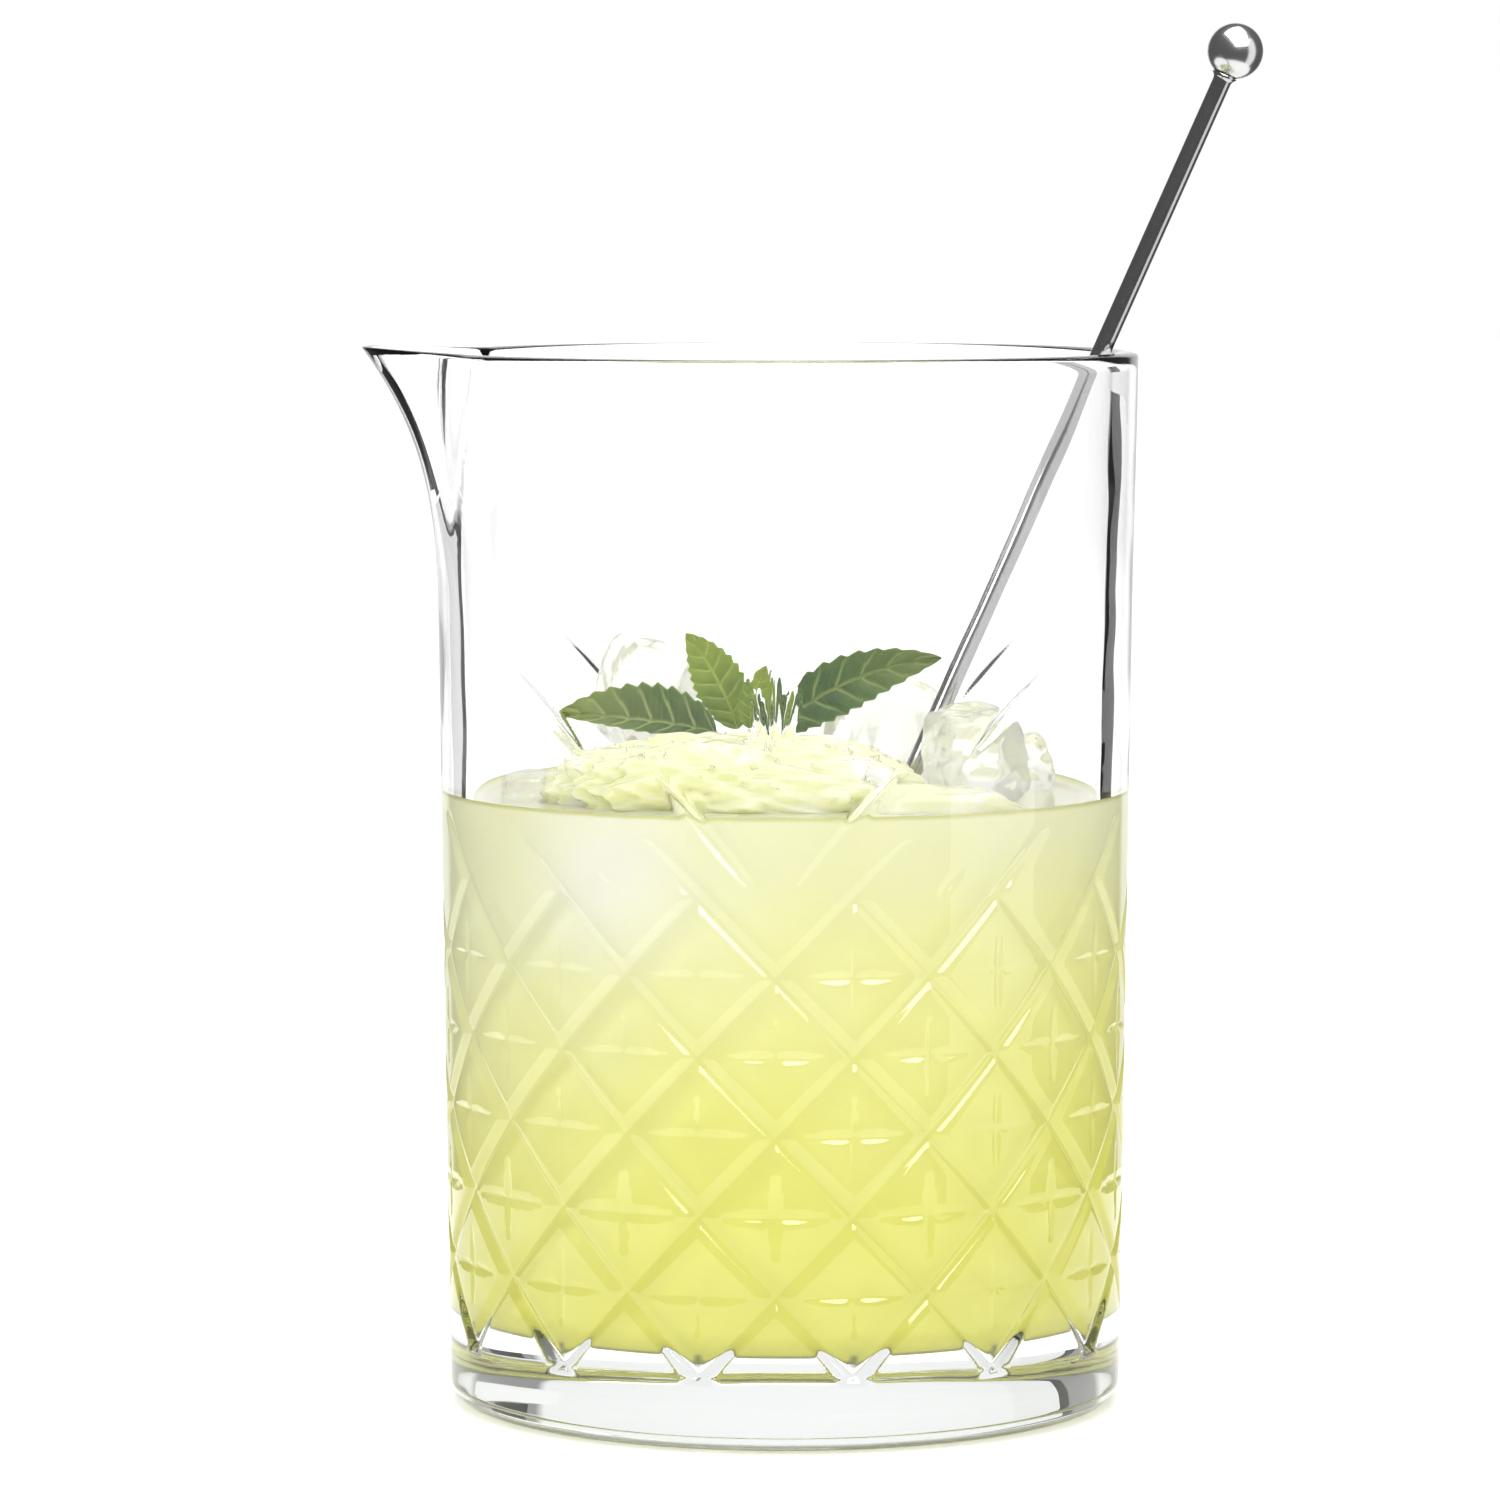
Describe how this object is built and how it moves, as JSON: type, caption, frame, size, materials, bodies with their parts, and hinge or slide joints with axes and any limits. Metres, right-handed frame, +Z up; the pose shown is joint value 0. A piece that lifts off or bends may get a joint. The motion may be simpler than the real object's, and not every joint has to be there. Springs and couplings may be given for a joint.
{
  "type": "mixing glass",
  "caption": "Spouted mixing glass with a diamond-cut wall and a heavy clear base, holding an iced drink, a sprig of mint and a ball-ended stirrer that draws out along its lean.",
  "frame": {"origin": "centre of the flat underside of the glass", "axes": "+Z up along the axis of the glass, the pouring spout points along -X, and the stirrer leans towards +X"},
  "size_m": [0.1273, 0.1004, 0.1964],
  "materials": {
    "glass": "clear pressed glass",
    "drink": "cloudy yellow-green drink, wet",
    "ice": "wet, cloudy ice",
    "leaf_dark": "satin leaf",
    "leaf_light": "satin leaf",
    "stem": "satin stem",
    "steel": "polished stainless steel"
  },
  "bodies": {
    "glass": {"glass_body": "glass"},
    "contents": {"drink": "drink", "ice_slush": "ice", "ice_cube_front_left": "ice", "ice_cube_front_right": "ice"},
    "stirrer": {"stirrer_rod": "steel", "stirrer_ball": "steel"},
    "sprig": {"mint_stem": "stem", "mint_leaf_left": "leaf_dark", "mint_leaf_upright": "leaf_light", "mint_leaf_small": "leaf_light", "mint_leaf_right": "leaf_dark", "mint_leaf_bud": "leaf_dark"},
    "ice_cube_back_left_piece": {"ice_cube_back_left": "ice"},
    "ice_cube_right_piece": {"ice_cube_right": "ice"},
    "ice_cube_back_right_piece": {"ice_cube_back_right": "ice"},
    "ice_chip_left_piece": {"ice_chip_left": "ice"},
    "ice_chip_right_piece": {"ice_chip_right": "ice"}
  },
  "joints": [
    {"name": "contents_swirl", "type": "hinge", "parent": "glass", "child": "contents", "pos_m": [0, 0, 0], "axis": [0, 0, 1], "continuous": true},
    {"name": "stirrer_draw", "type": "slide", "parent": "contents", "child": "stirrer", "axis": [0.4047, 0, 0.9145], "range_m": [0, 0.16]},
    {"name": "sprig_lift", "type": "slide", "parent": "contents", "child": "sprig", "axis": [0, 0, 1], "range_m": [0, 0.07]},
    {"name": "ice_cube_back_left_lift", "type": "slide", "parent": "contents", "child": "ice_cube_back_left_piece", "axis": [0, 0, 1], "range_m": [0, 0.065]},
    {"name": "ice_cube_right_lift", "type": "slide", "parent": "contents", "child": "ice_cube_right_piece", "axis": [0, 0, 1], "range_m": [0, 0.065]},
    {"name": "ice_cube_back_right_lift", "type": "slide", "parent": "contents", "child": "ice_cube_back_right_piece", "axis": [0, 0, 1], "range_m": [0, 0.065]},
    {"name": "ice_chip_left_lift", "type": "slide", "parent": "contents", "child": "ice_chip_left_piece", "axis": [0, 0, 1], "range_m": [0, 0.065]},
    {"name": "ice_chip_right_lift", "type": "slide", "parent": "contents", "child": "ice_chip_right_piece", "axis": [0, 0, 1], "range_m": [0, 0.065]}
  ]
}
